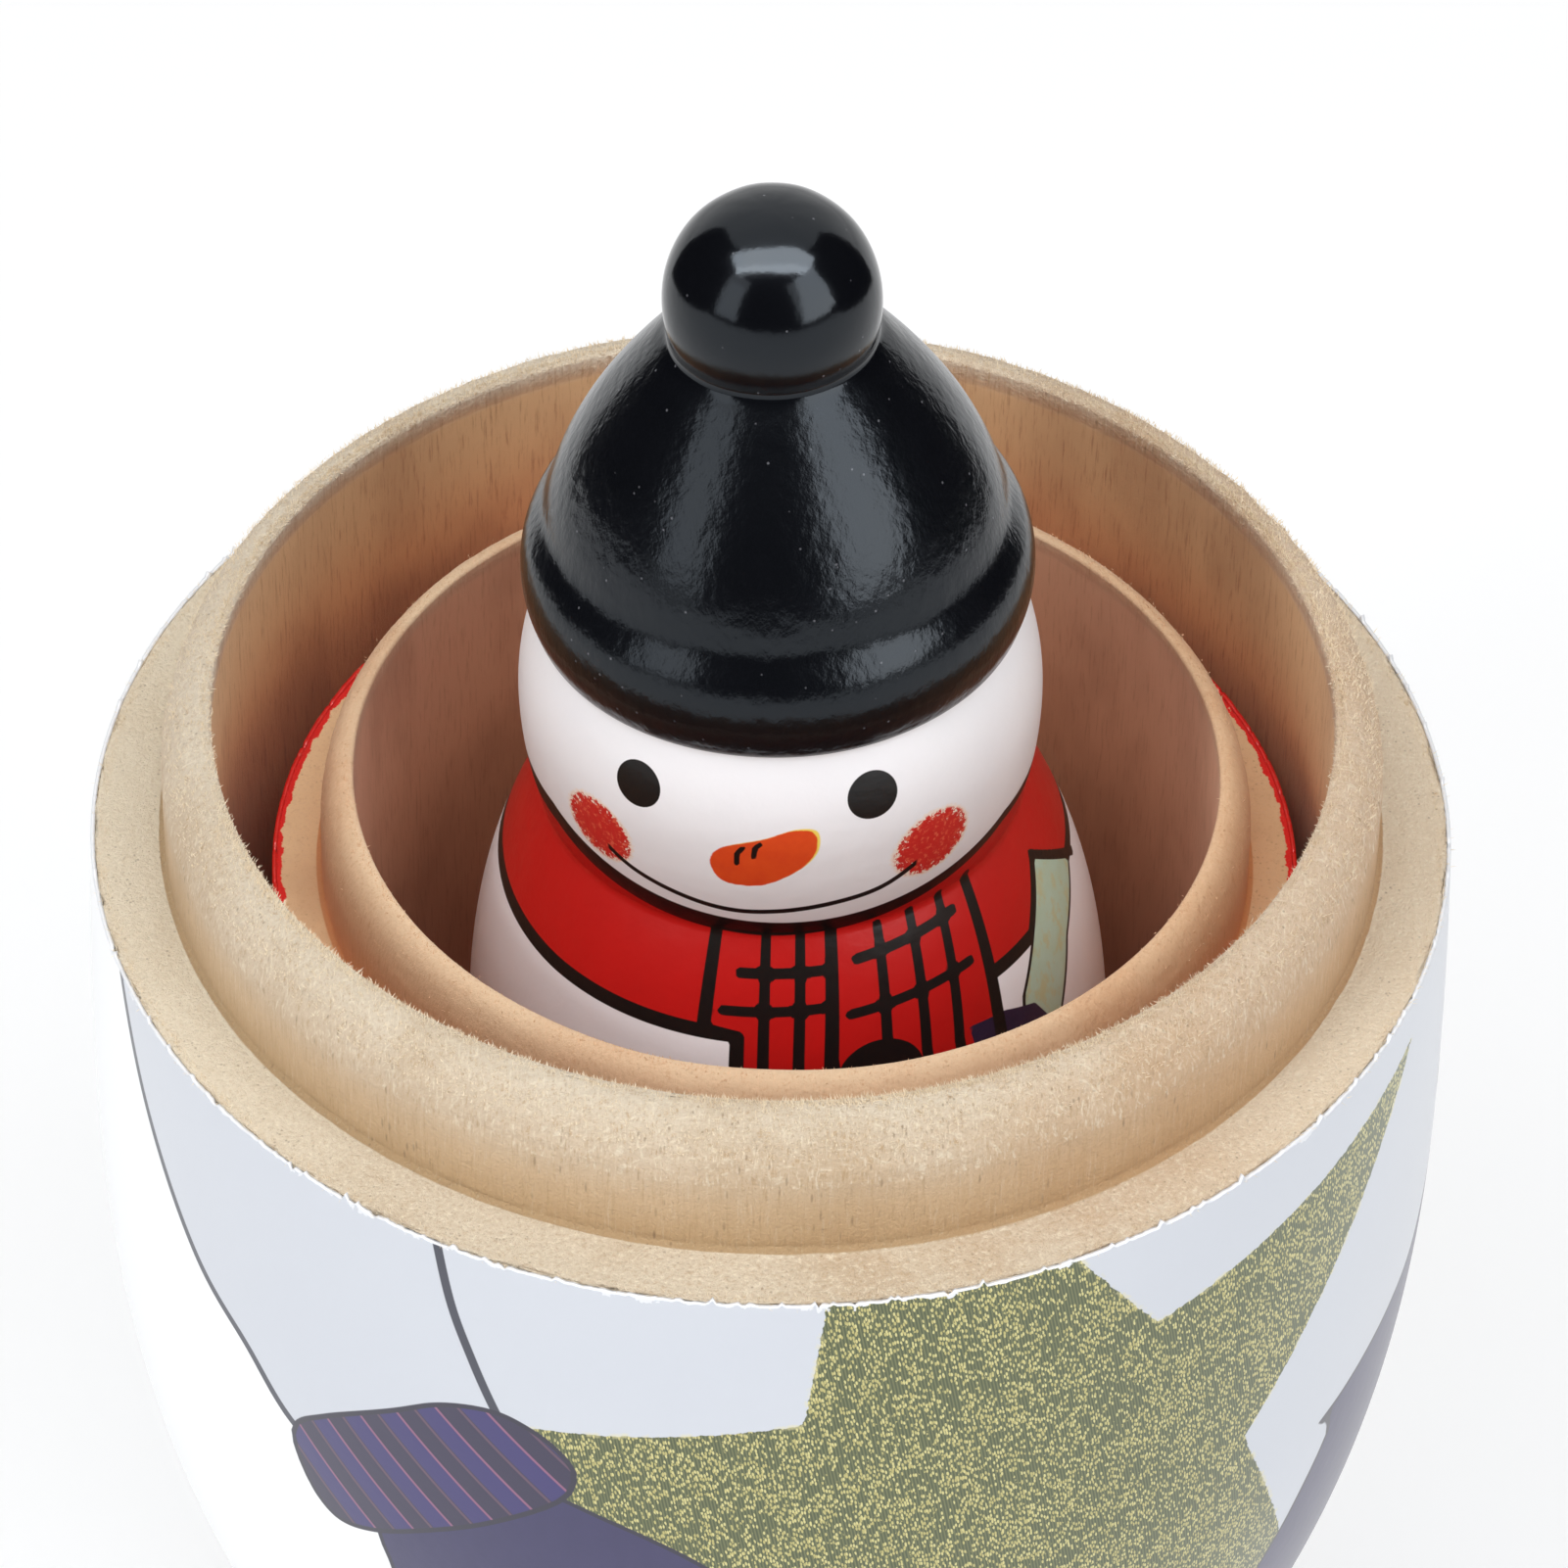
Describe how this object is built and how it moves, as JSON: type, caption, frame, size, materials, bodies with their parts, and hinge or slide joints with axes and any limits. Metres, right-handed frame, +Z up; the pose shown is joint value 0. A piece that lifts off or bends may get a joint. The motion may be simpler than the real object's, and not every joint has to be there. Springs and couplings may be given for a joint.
{
  "type": "matryoshka nesting doll",
  "caption": "Opened wooden nesting doll: turned lower halves with shoulder and spigot standing one in another, a solid snowman doll in the innermost, all wrapped in printed film.",
  "frame": {"origin": "centre of the outer half's flat foot, on the table", "axes": "+Z up along the outer half's axis, the printed front faces -Y, +X to the viewer's right"},
  "size_m": [0.081, 0.081, 0.1153],
  "materials": {
    "bare_wood": "raw turned basswood, fuzzy",
    "peach_wood": "raw turned basswood, smooth",
    "white_film": "printed transfer film, semi-gloss",
    "red_film": "printed transfer film, semi-gloss",
    "snow_film": "printed transfer film, satin",
    "black_lacquer": "black gloss lacquer on wood"
  },
  "bodies": {
    "outer_half": {"outer_base": "bare_wood", "outer_film": "white_film"},
    "middle_half": {"middle_base": "peach_wood", "middle_film": "red_film"},
    "snowman_doll": {"snowman": "black_lacquer", "snowman_film": "snow_film"}
  },
  "joints": [
    {"name": "middle_lift", "type": "slide", "parent": "outer_half", "child": "middle_half", "axis": [0, 0, 1], "range_m": [0, 0.075]},
    {"name": "snowman_lift", "type": "slide", "parent": "middle_half", "child": "snowman_doll", "axis": [0, 0, 1], "range_m": [0, 0.06]}
  ]
}
